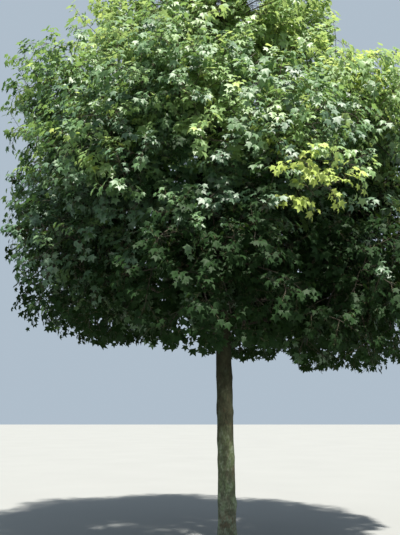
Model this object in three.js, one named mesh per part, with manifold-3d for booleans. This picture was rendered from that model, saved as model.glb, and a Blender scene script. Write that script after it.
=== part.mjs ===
// A young maple with a clear stem and a dense, square-shouldered crown, in millimetres.
// +Z is up and +X is to the right of the usual view. The origin is the middle of the flat
// cut under the trunk, at ground level.
//
// The tree is a trunk that runs up through its crown, boughs that leave it in opposite
// pairs, and one mass of foliage at the end of each bough. A mass is a core with one stem
// in it. Twigs leave the stem, and each ends in a spray of three leaves, which are larger
// than life because each stands for many.
import * as THREE from "three";
import { mergeVertices } from "three/addons/utils/BufferGeometryUtils.js";
import Module from "manifold-3d";

const wasm = await Module();
wasm.setup();

// Trunk
const LEADER_TOP = 6150; // where the trunk meets the stem of the topmost mass
const LEAN = { x: -110, y: 40, power: 1.3 }; // how far the leader stands off at its top
const FOOT_RADIUS = 102;
const CLEAR_RADIUS = 91; // under the first boughs
const LEADER_RADIUS = 26;
const FIRST_BOUGH = 2350;
const LEADER_TAPER = 0.85; // the power of its taper above the first boughs
const FLARE = { out: 32, rise: 80, roots: 5, lobe: 0.25 };
const GRAFT = { height: 390, out: 13, spread: 110 }; // the swelling on the right, near the foot
const TRUNK_SIDES = 12;
const TRUNK_RINGS = 12;
const RING_SPREAD = 1.6; // the power by which rings stand closer together near the ground

// Boughs
const BOUGH_RADIUS = 36;
const BOUGH_TIP_RADIUS = 19;
const BOUGH_SIDES = 5;
const BOUGH_RINGS = 3;
const BOUGH_BEND = { run: 0.3, rise: 0.5 }; // the shares of its run and rise at which it bends
const JOINT_GAP = 0.3; // between pieces that touch

// Crown: rings of masses, from the ground up. Each mass fills a ball that is flatter than
// it is wide, as far as the walls that it shares with its neighbours. A tier's first bough
// leaves the trunk at its foot, and each further pair a step above. A drop is how much
// lower the tier hangs at the bearing where it is lowest, and higher on the other side.
const TIERS = [
  {
    name: "skirt", count: 6, height: 3000, ring: 1690, reach: 1110,
    bearing: 20, drop: 170, lowest: 0, foot: 2430, step: 130,
  },
  {
    name: "belly", count: 6, height: 4070, ring: 1810, reach: 1120,
    bearing: 50, drop: 40, lowest: 0, foot: 2900, step: 170,
  },
  {
    name: "shoulder", count: 6, height: 5020, ring: 1720, reach: 1130,
    bearing: 20, drop: 200, lowest: -80, foot: 3560, step: 190,
  },
  {
    name: "dome", count: 4, height: 6080, ring: 790, reach: 1150,
    bearing: 8, drop: 0, lowest: 0, foot: 4450, step: 240,
  },
  {
    name: "crest", count: 1, height: 6860, ring: 0, reach: 1290,
    bearing: 0, drop: 0, lowest: 0, foot: LEADER_TOP, step: 0,
  },
];
const FLATTEN = 0.85;
const CROWN_HEART = 4450;
const JITTER = { bearing: 7, height: 110, reach: 0.05 };
const WALL_GAP = 9; // from a mass to the wall that it shares

// Foliage
const SEED = 3;
const OUT_RISE = 0.42; // how much of its height above the crown's heart tilts a mass upwards
// The core is a lens that lies along the crown's outside: shares of the reach, and its
// clearance from the walls.
const CORE = { deep: 0.27, wide: 0.92, out: 0.2, lump: 0.06, gap: 6 };
const HEADINGS = 18; // even directions in which a mass may send a twig
const FACING = 0.2; // a twig that looks further from the crown's outside than this is left out
const TURN = Math.PI * (3 - Math.sqrt(5)); // the golden angle, between one twig and the next
const STEM_PAST_HEART = 0.3; // of the reach
const STEM_BEND = 0.4; // the share of its length that it keeps the bough's direction for
const STEM_RADIUS = 12;
const STEM_RINGS = 2;
const TWIG = { from: 20, to: 13, sides: 3, pastCore: 0.14 };
const TWIG_LEAVES = { at: 0.62, later: 0.3 }; // where on the stem a twig that looks sideways leaves it
const PAIR_BACK = 90; // from a twig's end to its pair of leaves
const LEAF_LENGTH = 430;
const LEAF_SPREAD = 0.12; // how much longer or shorter a spray's leaves may be
const PAIR_SHARE = 0.88;
const LEAF_THICKNESS = 0.035; // of its length
const LEAF_LEAN = 0.62; // how much the end leaf stands out from the crown, beside how much it hangs
const PAIR_LEAN = 0.43;
const PAIR_FALL = 0.25;
const TWIST = 0.5; // how far a spray may turn about its twig
const OUT_SHARE = 0.35; // how much the crown's outside turns a spray that faces away from it
const LEAF_SINK = 8; // how deep the end leaf's root lies in its twig
const LIMB_CLEARANCE = 70; // more than half of the step between the samples of a limb
const TRUNK_SAMPLE_STEP = 60;
const BOUGH_SAMPLES = 25;

const BARK = new THREE.MeshStandardMaterial({ color: 0x4d4a3d, roughness: 0.95, metalness: 0 });
const LEAF_COLOURS = {
  skirt: 0x2a4a22,
  belly: 0x34592a,
  shoulder: 0x43702e,
  dome: 0x5a8434,
  crest: 0x6d9139,
};

const DEGREE = Math.PI / 180;
const UP = new THREE.Vector3(0, 0, 1);
const vec = (x, y, z) => new THREE.Vector3(x, y, z);

// A repeatable number from 0 to 1 for a pair of whole numbers: the fraction of a large sine.
function chance(n, k) {
  const s = Math.sin(n * 12.9898 + k * 78.233 + SEED) * 43758.5453;
  return s - Math.floor(s);
}

// The same from -1 to 1
const swing = (n, k) => 2 * chance(n, k) - 1;

// Solids

function toSolid(geometry) {
  const bare = geometry.clone();
  bare.deleteAttribute("normal");
  bare.deleteAttribute("uv");
  const merged = mergeVertices(bare, 1e-3);
  return new wasm.Manifold(
    new wasm.Mesh({
      numProp: 3,
      vertProperties: new Float32Array(merged.attributes.position.array),
      triVerts: new Uint32Array(merged.index.array),
    }),
  );
}

function toGeometry(solid) {
  const { vertProperties, triVerts } = solid.getMesh();
  const shared = new THREE.BufferGeometry();
  shared.setAttribute("position", new THREE.BufferAttribute(vertProperties, 3));
  shared.setIndex(new THREE.BufferAttribute(triVerts, 1));
  const faceted = shared.toNonIndexed();
  faceted.computeVertexNormals();
  return faceted;
}

// The largest of a solid's bodies, so that loose scraps and sealed hollows go.
function largestBody(solid) {
  return solid.decompose().reduce((a, b) => (b.volume() > a.volume() ? b : a));
}

// A closed limb along a curve: a prism whose rings are moved to points of the curve,
// square to it, and scaled by radiusAt(share of the length, angle).
function limbGeometry(curve, radiusAt, sides, rings, level = false) {
  const corners = Array.from({ length: sides }, (_, i) => {
    const angle = (2 * Math.PI * i) / sides - Math.PI / 2 + Math.PI / sides;
    return new THREE.Vector2(Math.cos(angle), Math.sin(angle));
  });
  const prism = { depth: 1, steps: rings, bevelEnabled: false };
  const geometry = new THREE.ExtrudeGeometry(new THREE.Shape(corners), prism);
  const position = geometry.getAttribute("position");
  for (let i = 0; i < position.count; i++) {
    const share = position.getZ(i);
    const angle = Math.atan2(position.getY(i), position.getX(i));
    const along = level ? UP : curve.getTangent(share);
    const across = acrossOf(along);
    const above = vec(0, 0, 0).crossVectors(along, across);
    const radius = radiusAt(share, angle);
    const point = curve.getPoint(share);
    point.addScaledVector(across, radius * Math.cos(angle));
    point.addScaledVector(above, radius * Math.sin(angle));
    position.setXYZ(i, point.x, point.y, point.z);
  }
  return geometry;
}

// A level direction square to a limb, or +X where the limb stands upright
function acrossOf(along) {
  const across = vec(0, 0, 0).crossVectors(UP, along);
  return across.length() > 1e-3 ? across.normalize() : vec(1, 0, 0);
}

// Trunk

function trunkPoint(height) {
  const share = Math.pow(Math.max(0, height) / LEADER_TOP, LEAN.power);
  return vec(LEAN.x * share, LEAN.y * share, height);
}

class TrunkCurve extends THREE.Curve {
  getPoint(share) {
    return trunkPoint(LEADER_TOP * Math.pow(share, RING_SPREAD));
  }
}

// Wood tapers slowly to the first boughs and faster above them. Roots make the foot lobed.
function trunkRadius(height, angle) {
  const clear = Math.min(1, height / FIRST_BOUGH);
  const crown = Math.max(0, (height - FIRST_BOUGH) / (LEADER_TOP - FIRST_BOUGH));
  const wood = FOOT_RADIUS + (CLEAR_RADIUS - FOOT_RADIUS) * clear;
  const taper = wood + (LEADER_RADIUS - CLEAR_RADIUS) * Math.pow(crown, LEADER_TAPER);
  const flare = FLARE.out * Math.exp(-height / FLARE.rise);
  const lobes = 1 + FLARE.lobe * Math.cos(FLARE.roots * angle);
  const swell = Math.exp(-(((height - GRAFT.height) / GRAFT.spread) ** 2));
  return taper + flare * lobes + GRAFT.out * swell * (0.5 + 0.5 * Math.cos(angle));
}

function trunkSolid(grown) {
  const curve = new TrunkCurve();
  const radiusAt = (share, angle) => trunkRadius(curve.getPoint(share).z, angle) + grown;
  return toSolid(limbGeometry(curve, radiusAt, TRUNK_SIDES, TRUNK_RINGS, true));
}

// Crown: where the masses are

function crownMasses() {
  const masses = [];
  for (const tier of TIERS) {
    for (let i = 0; i < tier.count; i++) {
      const n = masses.length;
      const turned = tier.count > 1 ? JITTER.bearing * swing(n, 1) : 0;
      const bearing = (tier.bearing + (360 / tier.count) * i + turned) * DEGREE;
      const jump = tier.count > 1 ? JITTER.height * swing(n, 2) : 0;
      const height = tier.height + jump - tier.drop * Math.cos(bearing - tier.lowest * DEGREE);
      const heart = trunkPoint(Math.min(height, LEADER_TOP)).setZ(height);
      heart.x += tier.ring * Math.cos(bearing);
      heart.y += tier.ring * Math.sin(bearing);
      const pairs = Math.max(1, tier.count / 2);
      masses.push({
        name: tier.count > 1 ? `${tier.name}_${i + 1}` : tier.name,
        tier: tier.name,
        number: n,
        heart,
        reach: tier.reach * (1 + JITTER.reach * swing(n, 3)),
        foot: trunkPoint(tier.foot + tier.step * (i % pairs)),
        onLeader: tier.count === 1,
      });
    }
  }
  return masses;
}

const masses = crownMasses();

// From a mass's heart to a point, with the flattened height stretched back to a ball's
const stretched = (point, mass) =>
  vec(point.x - mass.heart.x, point.y - mass.heart.y, (point.z - mass.heart.z) / FLATTEN);

// How far a mass reaches in a direction: to its ball, or to the wall that it shares with
// a neighbour, where a point lies equally deep in both balls.
function reachTowards(mass, direction) {
  let reach = mass.reach;
  for (const other of masses) {
    if (other === mass) continue;
    const between = stretched(other.heart, mass);
    const facing = between.dot(direction);
    if (facing <= 0) continue;
    const depth = between.lengthSq() + mass.reach ** 2 - other.reach ** 2;
    const gap = 2 * between.length() * WALL_GAP;
    reach = Math.min(reach, (depth - gap) / (2 * facing));
  }
  return reach;
}

// The point at a distance from a mass's heart, before its ball is flattened
function pointTowards(mass, direction, distance) {
  return vec(direction.x, direction.y, direction.z * FLATTEN).multiplyScalar(distance).add(mass.heart);
}

// True if a point lies in the mass's own space
function holds(mass, point) {
  const offset = stretched(point, mass);
  const distance = offset.length();
  return distance < 1 || distance <= reachTowards(mass, offset.divideScalar(distance));
}

// Boughs

// A bough's run: it climbs from the trunk first, then bends out to its mass.
function boughCurve(mass) {
  const inward = stretched(mass.foot, mass).normalize();
  const tip = pointTowards(mass, inward, reachTowards(mass, inward));
  const bend = mass.foot.clone().lerp(tip, BOUGH_BEND.run);
  bend.z = mass.foot.z + (tip.z - mass.foot.z) * BOUGH_BEND.rise;
  return new THREE.QuadraticBezierCurve3(mass.foot.clone(), bend, tip);
}

const boughRadius = (share) => BOUGH_RADIUS + (BOUGH_TIP_RADIUS - BOUGH_RADIUS) * share;

function boughSolid(mass, grown) {
  return toSolid(limbGeometry(mass.bough, (s) => boughRadius(s) + grown, BOUGH_SIDES, BOUGH_RINGS));
}

for (const mass of masses) {
  if (!mass.onLeader) mass.bough = boughCurve(mass);
}

// Points along every limb with the radius there, for keeping leaves clear of the wood
function limbSamples() {
  const samples = [];
  const add = (point, radius) => samples.push({ point, room: radius + LIMB_CLEARANCE });
  for (let height = 0; height < LEADER_TOP; height += TRUNK_SAMPLE_STEP) {
    add(trunkPoint(height), trunkRadius(height, 0));
  }
  for (const mass of masses) {
    for (let i = 0; mass.bough && i < BOUGH_SAMPLES; i++) {
      add(mass.bough.getPoint(i / BOUGH_SAMPLES), boughRadius(i / BOUGH_SAMPLES));
    }
  }
  return samples;
}

const limbs = limbSamples();
const touchesLimb = (point) => limbs.some((limb) => limb.point.distanceTo(point) < limb.room);

// Foliage

// One leaf of unit length: x across, y along the midrib, and z down where the blade
// arches. It has a lobe on each side, a notch above it, and a pointed tip.
const LEAF_OUTLINE = [
  [0, 0, 0],
  [0.54, 0.52, -0.08],
  [0.19, 0.58, -0.03],
  [0, 1, -0.14],
  [-0.19, 0.58, -0.03],
  [-0.54, 0.52, -0.08],
];
const LEAF_HUB = [0, 0.42, LEAF_THICKNESS];
const LEAF_UNDERSIDE = [0, 2, 1, 2, 4, 3, 0, 4, 2, 0, 5, 4];

// A leaf is a thin closed solid: a fan of faces about a raised hub, and a folded underside.
function leafGeometry() {
  const corners = LEAF_OUTLINE.length;
  const fan = LEAF_OUTLINE.flatMap((_, i) => [i, (i + 1) % corners, corners]);
  const geometry = new THREE.BufferGeometry();
  const points = [...LEAF_OUTLINE, LEAF_HUB].flat();
  geometry.setAttribute("position", new THREE.Float32BufferAttribute(points, 3));
  return geometry.setIndex([...fan, ...LEAF_UNDERSIDE]);
}

const LEAF = leafGeometry();

// The placed leaf: its root at a point, its midrib along one direction, and its face as
// near to another as that allows.
function placeLeaf(root, along, facing, length) {
  const across = vec(0, 0, 0).crossVectors(along, facing).normalize();
  const normal = vec(0, 0, 0).crossVectors(across, along);
  const frame = new THREE.Matrix4().makeBasis(across, along, normal);
  frame.scale(vec(length, length, length)).setPosition(root);
  return LEAF.clone().applyMatrix4(frame);
}

// The leaf's corners, and the points half way from each to the hub
function leafCorners(geometry) {
  const position = geometry.getAttribute("position");
  const at = (i) => vec(0, 0, 0).fromBufferAttribute(position, i);
  const hub = at(position.count - 1);
  const corners = Array.from({ length: position.count }, (_, i) => at(i));
  return [...corners, ...corners.map((corner) => corner.clone().lerp(hub, 0.5))];
}

// The stem of a mass: from the tip of its bough, or of the leader, to past its heart.
function stemCurve(mass) {
  const end = mass.bough ? mass.bough.getPoint(1) : mass.foot.clone();
  const along = mass.bough ? mass.bough.getTangent(1) : UP.clone();
  const start = end.clone().addScaledVector(along, JOINT_GAP);
  const outward = mass.heart.clone().sub(start).normalize();
  const tip = mass.heart.clone().addScaledVector(outward, STEM_PAST_HEART * mass.reach);
  const bend = start.clone().addScaledVector(along, start.distanceTo(tip) * STEM_BEND);
  return new THREE.QuadraticBezierCurve3(start, bend, tip);
}

// The way out of the crown from its heart, through a mass
function outwardOf(mass) {
  return vec(mass.heart.x, mass.heart.y, OUT_RISE * (mass.heart.z - CROWN_HEART)).normalize();
}

// Even directions over a ball, by the golden angle, turned by chance for each mass
function heading(mass, k) {
  const level = 1 - (2 * (k + 0.5)) / HEADINGS;
  const around = k * TURN + 2 * Math.PI * chance(mass.number, 4);
  const flat = Math.sqrt(1 - level * level);
  return vec(flat * Math.cos(around), flat * Math.sin(around), level);
}

// A twig: it leaves the stem sooner the further back it looks.
function twigCurve(mass, stem, direction) {
  const forward = direction.dot(outwardOf(mass));
  const start = stem.getPoint(TWIG_LEAVES.at + TWIG_LEAVES.later * forward);
  const end = pointTowards(mass, direction, coreRadius(mass, direction) + TWIG.pastCore * mass.reach);
  return new THREE.LineCurve3(start, end);
}

// The three leaves at the end of a twig: one that carries it on, and a pair. They lie on
// the crown like shingles, hanging down it and standing out from it.
function sprayLeaves(mass, twig, k) {
  const end = twig.getPoint(1);
  const outside = outwardOf(mass).multiplyScalar(mass.reach);
  const out = end.clone().sub(mass.heart).lerp(outside, OUT_SHARE).normalize();
  const across = acrossOf(out);
  const fall = vec(0, 0, 0).crossVectors(across, out);
  const twist = TWIST * swing(mass.number, 20 + k);
  fall.addScaledVector(across, twist).normalize();
  across.addScaledVector(fall, -twist).normalize();
  const size = LEAF_LENGTH * (1 + LEAF_SPREAD * swing(mass.number, 40 + k));
  const along = twig.getTangent(1);
  const ahead = fall.clone().addScaledVector(out, LEAF_LEAN).normalize();
  const tipRoot = end.clone().addScaledVector(along, -LEAF_SINK);
  const pairRoot = end.clone().addScaledVector(along, -PAIR_BACK);
  const pair = [-1, 1].map((hand) => {
    const aside = across.clone().multiplyScalar(hand).addScaledVector(out, PAIR_LEAN);
    aside.addScaledVector(fall, PAIR_FALL).normalize();
    return placeLeaf(pairRoot, aside, out, size * PAIR_SHARE);
  });
  return [placeLeaf(tipRoot, ahead, out, size), ...pair];
}

// A twig that leaves the space or runs into a limb is skipped, and so is such a leaf.
function spray(mass, stem, k) {
  const direction = heading(mass, k);
  if (direction.dot(outwardOf(mass)) < FACING) return [];
  const twig = twigCurve(mass, stem, direction);
  if (touchesLimb(twig.getPoint(1)) || !holds(mass, twig.getPoint(1))) return [];
  const leaves = sprayLeaves(mass, twig, k).filter((leaf) =>
    leafCorners(leaf).every((corner) => holds(mass, corner) && !touchesLimb(corner)),
  );
  if (!leaves.length) return [];
  const radiusAt = (share) => TWIG.from + (TWIG.to - TWIG.from) * share;
  return [limbGeometry(twig, radiusAt, TWIG.sides, 1), ...leaves];
}

// How far the core reaches from the heart in a direction: a lens that lies along the
// crown's outside, or the wall where that is nearer.
function coreRadius(mass, direction) {
  const out = outwardOf(mass);
  const forward = direction.dot(out);
  const deep = (forward / CORE.deep) ** 2;
  const wide = (1 - forward ** 2) / CORE.wide ** 2;
  const lens = mass.reach * (1 / Math.sqrt(deep + wide) + CORE.out * forward);
  return Math.min(lens, reachTowards(mass, direction) - CORE.gap);
}

function coreGeometry(mass) {
  const geometry = new THREE.IcosahedronGeometry(1, 1);
  geometry.deleteAttribute("normal");
  geometry.deleteAttribute("uv");
  const core = mergeVertices(geometry, 1e-4);
  const position = core.getAttribute("position");
  for (let i = 0; i < position.count; i++) {
    const direction = vec(0, 0, 0).fromBufferAttribute(position, i).normalize();
    const lump = 1 - CORE.lump * chance(mass.number, 60 + i);
    const point = pointTowards(mass, direction, coreRadius(mass, direction) * lump);
    position.setXYZ(i, point.x, point.y, point.z);
  }
  return core;
}

// One mass: the stem, core, twigs and leaves as one body
function massSolid(mass) {
  const stem = stemCurve(mass);
  const startRadius = mass.bough ? BOUGH_TIP_RADIUS : LEADER_RADIUS;
  const stemRadius = (share) => startRadius + (STEM_RADIUS - startRadius) * share;
  const pieces = [limbGeometry(stem, stemRadius, BOUGH_SIDES, STEM_RINGS), coreGeometry(mass)];
  for (let k = 0; k < HEADINGS; k++) pieces.push(...spray(mass, stem, k));
  return largestBody(wasm.Manifold.union(pieces.map(toSolid)));
}

// Assembly

// A mesh about its own middle, set at its place in the tree
function placedMesh(name, solid, material, place) {
  const geometry = toGeometry(solid).translate(-place.x, -place.y, -place.z);
  const mesh = new THREE.Mesh(geometry, material);
  mesh.name = name;
  mesh.position.copy(place);
  return mesh;
}

function leafMaterial(mass) {
  const color = LEAF_COLOURS[mass.tier];
  return new THREE.MeshStandardMaterial({ color, roughness: 0.55, metalness: 0 });
}

const tree = new THREE.Group();
tree.name = "maple_tree";
tree.add(placedMesh("trunk", trunkSolid(0), BARK, vec(0, 0, 0)));

const trunkRoom = trunkSolid(JOINT_GAP);
for (const mass of masses) {
  const limb = new THREE.Group();
  if (mass.bough) {
    const bough = largestBody(boughSolid(mass, 0).subtract(trunkRoom));
    limb.add(placedMesh(`bough_${mass.name}`, bough, BARK, mass.foot));
  }
  limb.add(placedMesh(`foliage_${mass.name}`, massSolid(mass), leafMaterial(mass), mass.heart));
  tree.add(limb);
}

export default tree;
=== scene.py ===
# %% [markdown]
# # A young maple, dressed for its picture
#
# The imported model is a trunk, its boughs and blocks of foliage. This script loads it as a
# fixed frame and puts the real surfaces over it: bark with its furrows, boughs, twigs and
# about eighty thousand leaves. Nothing in the frame moves. Every new piece is worked out
# from the same named sizes as the blocks, so it needs no fitting.

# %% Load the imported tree
import bpy
import numpy as np
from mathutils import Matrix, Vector


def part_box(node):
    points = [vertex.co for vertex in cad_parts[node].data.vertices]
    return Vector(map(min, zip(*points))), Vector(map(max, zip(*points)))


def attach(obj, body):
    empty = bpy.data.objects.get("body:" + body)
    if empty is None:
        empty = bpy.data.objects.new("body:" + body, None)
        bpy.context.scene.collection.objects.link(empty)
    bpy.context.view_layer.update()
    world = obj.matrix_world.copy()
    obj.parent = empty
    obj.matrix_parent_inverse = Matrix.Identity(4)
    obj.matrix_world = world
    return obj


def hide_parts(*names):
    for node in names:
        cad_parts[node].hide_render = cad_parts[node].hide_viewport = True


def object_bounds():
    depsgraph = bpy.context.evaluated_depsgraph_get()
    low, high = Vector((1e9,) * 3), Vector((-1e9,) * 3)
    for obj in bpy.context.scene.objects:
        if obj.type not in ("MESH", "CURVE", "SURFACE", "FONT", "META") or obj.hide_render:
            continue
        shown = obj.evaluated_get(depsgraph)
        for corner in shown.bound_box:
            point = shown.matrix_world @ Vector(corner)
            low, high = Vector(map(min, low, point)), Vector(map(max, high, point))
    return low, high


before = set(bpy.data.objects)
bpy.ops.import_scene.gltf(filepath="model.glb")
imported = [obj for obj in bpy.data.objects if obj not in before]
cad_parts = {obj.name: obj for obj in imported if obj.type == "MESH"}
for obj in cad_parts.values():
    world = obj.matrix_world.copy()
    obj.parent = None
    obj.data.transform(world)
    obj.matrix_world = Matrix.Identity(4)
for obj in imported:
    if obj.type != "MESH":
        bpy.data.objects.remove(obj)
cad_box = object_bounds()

low, high = np.array(cad_box[0]), np.array(cad_box[1])
print("the frame has", len(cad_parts), "nodes and measures", np.round(high - low, 3))

# %% [markdown]
# ## Camera
#
# The picture is taken standing, nine metres from the trunk, with the camera tilted up into
# the crown. The lens follows from how wide the trunk and the crown look. The camera comes
# first, because each later step is judged through it.

# %% The camera
EYE = Vector((-0.311, -9.0, 1.5))
TILT = 10.58  # degrees above level
LENS = 50.47  # for a frame 36 mm high


def new_object(name, data):
    """A new object in the scene."""
    made = bpy.data.objects.new(name, data)
    bpy.context.scene.collection.objects.link(made)
    return made


camera = new_object("camera", bpy.data.cameras.new("camera"))
camera.location = EYE
camera.rotation_euler = (np.radians(90 + TILT), 0, 0)
camera.data.lens = LENS
bpy.context.scene.camera = camera
print("camera", tuple(round(v, 2) for v in EYE), "lens", LENS)

# %% [markdown]
# ## Light and floor
#
# Sunlight from high on the right makes the tops of the leaf clumps shine and leaves the
# crown's underside dark. A pale sky fills the shade. A plain floor stands for the ground.

# %% The light and the floor
SUN = {"height": 67, "bearing": -70, "strength": 10.5, "softness": 2}
SKY = {"color": (0.72, 0.86, 1.0, 1), "strength": 0.6}

sun = new_object("sun", bpy.data.lights.new("sun", "SUN"))
sun.data.energy = SUN["strength"]
sun.data.angle = np.radians(SUN["softness"])
sun.data.color = (1.0, 0.96, 0.88)
bearing, height = np.radians(SUN["bearing"]), np.radians(SUN["height"])
to_sun = Vector((np.cos(bearing) * np.cos(height), np.sin(bearing) * np.cos(height), np.sin(height)))
sun.rotation_euler = to_sun.to_track_quat("Z", "Y").to_euler()

world = bpy.data.worlds.new("sky")
world.use_nodes = True
background = world.node_tree.nodes["Background"]
background.inputs["Color"].default_value = SKY["color"]
background.inputs["Strength"].default_value = SKY["strength"]
bpy.context.scene.world = world
bpy.context.scene.view_settings.view_transform = "Standard"
print("sun", SUN, "sky", SKY)

# %% [markdown]
# ## Meshes from arrays
#
# A tree is made of a few shapes that are repeated thousands of times. Adding them one by
# one would take minutes, so each kind of piece is one mesh, whose points and triangles
# are worked out by numpy as whole arrays and handed over in one go.

# %% A mesh from arrays
def piece(name, points, triangles, finish, replaced, uv=None, marks=None):
    """One smooth mesh object that rides on the tree. marks are named numbers, one a point."""
    mesh = bpy.data.meshes.new(name)
    mesh.vertices.add(len(points))
    mesh.vertices.foreach_set("co", np.ascontiguousarray(points, np.float32).ravel())
    mesh.loops.add(triangles.size)
    mesh.loops.foreach_set("vertex_index", np.ascontiguousarray(triangles, np.int32).ravel())
    mesh.polygons.add(len(triangles))
    mesh.polygons.foreach_set("loop_start", np.arange(0, triangles.size, 3, dtype=np.int32))
    mesh.update(calc_edges=True)
    if uv is not None:
        layer = mesh.uv_layers.new(name="UVMap")
        layer.data.foreach_set("uv", np.ascontiguousarray(uv[triangles.ravel()], np.float32).ravel())
    for mark, values in (marks or {}).items():
        layer = mesh.attributes.new(mark, "FLOAT", "POINT")
        layer.data.foreach_set("value", np.ascontiguousarray(values, np.float32).ravel())
    mesh.shade_smooth()
    mesh.materials.append(finish)
    made = new_object(name, mesh)
    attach(made, "root")
    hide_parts(*replaced)
    print(f"{name}: {len(points)} points, {len(triangles)} triangles")


# %% Whole numbers and directions
def all_numbered(*counts):
    """Every combination of whole numbers below the counts: one flat array for each count."""
    return [a.ravel() for a in np.meshgrid(*[np.arange(count) for count in counts], indexing="ij")]


def unit(v):
    """The vectors scaled to length one."""
    return v / np.maximum(np.linalg.norm(v, axis=-1, keepdims=True), 1e-9)


def square_to(v):
    """A direction square to each vector: its cross product with z, or with x if it is upright."""
    return unit(np.cross(v, np.where(np.abs(v[:, 2:]) > 0.9, (1, 0, 0), (0, 0, 1))))


def all_round(level, above, sides):
    """Directions at even angles around: cos(angle) * level + sin(angle) * above."""
    turn = np.arange(sides) * 2 * np.pi / sides
    return np.cos(turn)[:, None] * level[..., None, :] + np.sin(turn)[:, None] * above[..., None, :]


# %% Closed tubes
def tube_triangles(count, rings, sides):
    """Triangles for closed tubes: two for each patch between two rings, and a fan at each end."""
    ring, side = all_numbered(rings - 1, sides)
    a = ring * sides + side
    b = ring * sides + (side + 1) % sides
    walls = np.stack([a, b, b + sides, a, b + sides, a + sides], -1).reshape(-1, 3)
    fan = np.arange(1, sides - 1)
    foot = np.stack([0 * fan, fan + 1, fan], -1)
    top = np.stack([0 * fan, fan, fan + 1], -1) + (rings - 1) * sides
    one = np.concatenate([walls, foot, top])
    start = np.arange(count) * rings * sides
    return (start[:, None, None] + one).reshape(-1, 3)


def rings_along(paths, sides):
    """Directions around each path at each of its points, square to it. The first is level."""
    along = unit(np.gradient(paths, axis=1))
    level = np.cross((0, 0, 1), along)
    upright = np.linalg.norm(level, axis=-1, keepdims=True) < 1e-3
    level = unit(np.where(upright, (1, 0, 0), level))
    return all_round(level, np.cross(along, level), sides)


def tubes(paths, radii, sides):
    """Closed tubes: around each path point, a ring of points at its radius."""
    points = paths[:, :, None] + radii[:, :, None, None] * rings_along(paths, sides)
    return points.reshape(-1, 3), tube_triangles(len(paths), paths.shape[1], sides)


def bezier(control, share):
    """Points on quadratic curves: the three control points blended by the share along."""
    s = np.asarray(share, float)[..., None]
    a, b, c = control[..., 0, :], control[..., 1, :], control[..., 2, :]
    return (1 - s) ** 2 * a + 2 * s * (1 - s) * b + s * s * c


def sampled(curves, rings):
    """Each curve as a row of points at even shares."""
    return bezier(curves[:, None], np.broadcast_to(np.linspace(0, 1, rings), (len(curves), rings)))


# %% [markdown]
# ## Finishes
#
# A finish is a network of nodes. Written as nodes, a short sum takes a screenful, so a
# small class lets Python's own operators add the Math nodes, and one method adds any
# other node: its settings first, then what goes into its sockets.

# %% A short way to write finishes
class Wire:
    """An output socket. Sums written with it become Math nodes."""

    def __init__(self, finish, socket):
        self.finish = finish
        self.socket = socket

    def __add__(self, other):
        return self.finish.math("ADD", self, other)

    def __sub__(self, other):
        return self.finish.math("SUBTRACT", self, other)

    def __rsub__(self, other):
        return self.finish.math("SUBTRACT", other, self)

    def __mul__(self, other):
        return self.finish.math("MULTIPLY", self, other)

    __radd__ = __add__
    __rmul__ = __mul__


class Finish:
    """One material, built from nodes."""

    def __init__(self, name):
        self.material = bpy.data.materials.new(name)
        self.material.use_nodes = True
        self.tree = self.material.node_tree
        self.tree.nodes.clear()

    def add(self, kind, settings=None, inputs=None, output=0):
        """A node with its settings. An input is a number, a colour or a Wire."""
        node = self.tree.nodes.new(kind)
        for key, value in (settings or {}).items():
            setattr(node, key, value)
        for key, value in (inputs or {}).items():
            if isinstance(value, Wire):
                self.tree.links.new(value.socket, node.inputs[key])
            else:
                node.inputs[key].default_value = value
        if node.outputs:
            return Wire(self, node.outputs[output])

    def math(self, operation, *terms):
        """A Math node. Python's signs make the common ones."""
        return self.add("ShaderNodeMath", {"operation": operation}, dict(enumerate(terms)))

    def place(self):
        """Where a point lies in the tree, in metres."""
        return self.add("ShaderNodeTexCoord", output="Object")

    def speckle(self, place, scale, detail=3.0, stretch=None):
        """Cloudy noise from 0 to 1. A small number in stretch makes it long along that axis."""
        if stretch:
            place = self.add("ShaderNodeMapping", None, {"Vector": place, "Scale": stretch})
        inputs = {"Vector": place, "Scale": scale, "Detail": detail}
        return self.add("ShaderNodeTexNoise", None, inputs)

    def mark(self, name):
        """A number stored on the piece's own points."""
        return self.add("ShaderNodeAttribute", {"attribute_name": name}, output="Fac")

    def blend(self, a, b, share):
        """Colour a where share is 0, colour b where it is 1."""
        settings = {"data_type": "RGBA"}
        return self.add("ShaderNodeMix", settings, {0: share, 6: a, 7: b}, output=2)

    def ramp(self, value, start, end):
        """0 below start, 1 above end, and smooth between."""
        settings = {"interpolation_type": "SMOOTHSTEP"}
        inputs = {"Value": value, "From Min": start, "From Max": end}
        return self.add("ShaderNodeMapRange", settings, inputs)

    def bump(self, height, distance, strength=1.0):
        """Fine relief that only turns the light, as deep as the distance."""
        inputs = {"Height": height, "Distance": distance, "Strength": strength}
        return self.add("ShaderNodeBump", None, inputs)

    def surface(self, passing=None, **sockets):
        """Closes the finish with a Principled surface. passing is the tint and the share of
        the light that a thin blade lets through."""
        named = {key.replace("_", " "): value for key, value in sockets.items()}
        shader = self.add("ShaderNodeBsdfPrincipled", None, named)
        if passing:
            tint, share = passing
            through = self.add("ShaderNodeBsdfTranslucent", None, {"Color": tint})
            shader = self.add("ShaderNodeMixShader", None, {0: share, 1: shader, 2: through})
        self.add("ShaderNodeOutputMaterial", None, {"Surface": shader})
        return self.material


def darker(colour, share):
    """The colour times the share, still opaque."""
    return tuple(share * c for c in colour[:3]) + (1,)


# %% The floor
def floor_finish():
    """Two pale greys in wide clouds."""
    finish = Finish("pale_floor")
    cloud = finish.speckle(finish.place(), 0.6)
    tone = finish.blend((0.22, 0.225, 0.22, 1), (0.25, 0.255, 0.25, 1), cloud)
    return finish.surface(Base_Color=tone, Roughness=0.9)


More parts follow.
